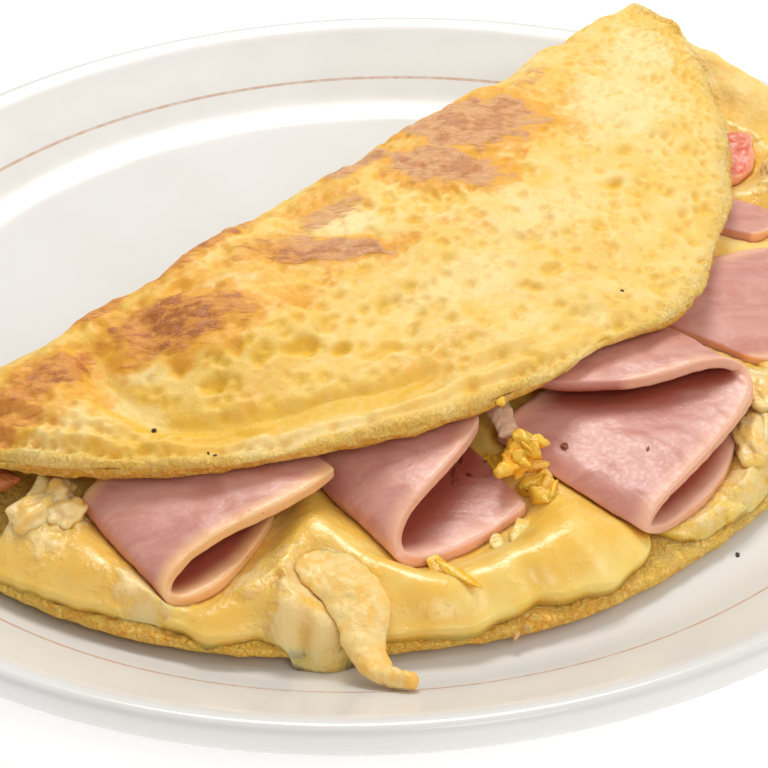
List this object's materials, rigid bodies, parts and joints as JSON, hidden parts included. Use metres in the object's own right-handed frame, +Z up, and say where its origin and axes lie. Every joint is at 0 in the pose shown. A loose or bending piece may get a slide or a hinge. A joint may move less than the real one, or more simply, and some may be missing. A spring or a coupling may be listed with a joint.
{
  "type": "folded omelette on a plate",
  "caption": "Egg omelette folded once over ham slices and melted cheese, on a round rimmed dinner plate.",
  "frame": {"origin": "centre of the plate's foot ring, on the surface that the plate stands on", "axes": "+Z up; the fold runs 47 degrees from +X towards +Y, and the open side with the ham faces the +X -Y quarter"},
  "size_m": [0.2616, 0.2616, 0.0385],
  "materials": {
    "plate_glaze": "glossy white glaze with a thin orange-brown ring line",
    "egg": "soft pale yellow fried egg, pitted, with browned patches and a golden edge",
    "melted_cheese": "smooth glossy melted cheese with creamy curds",
    "ham": "moist pink cooked ham with a peach-coloured cut edge and small flecks",
    "browned_ham": "browned reddish scrap of ham",
    "cheddar": "half-melted orange-yellow cheese bits",
    "cooked_egg": "cream to golden torn egg and cheese strip"
  },
  "bodies": {
    "root": {"plate": "plate_glaze", "omelette": "egg", "filling": "melted_cheese", "ham_left": "ham", "ham_middle": "ham", "ham_right": "ham", "ham_flat": "ham", "ham_tip": "ham", "ham_scrap": "ham", "bacon_left": "browned_ham", "cheddar": "cheddar", "pale_strip": "ham", "egg_strip": "cooked_egg", "cheese_slice": "melted_cheese"}
  },
  "joints": []
}
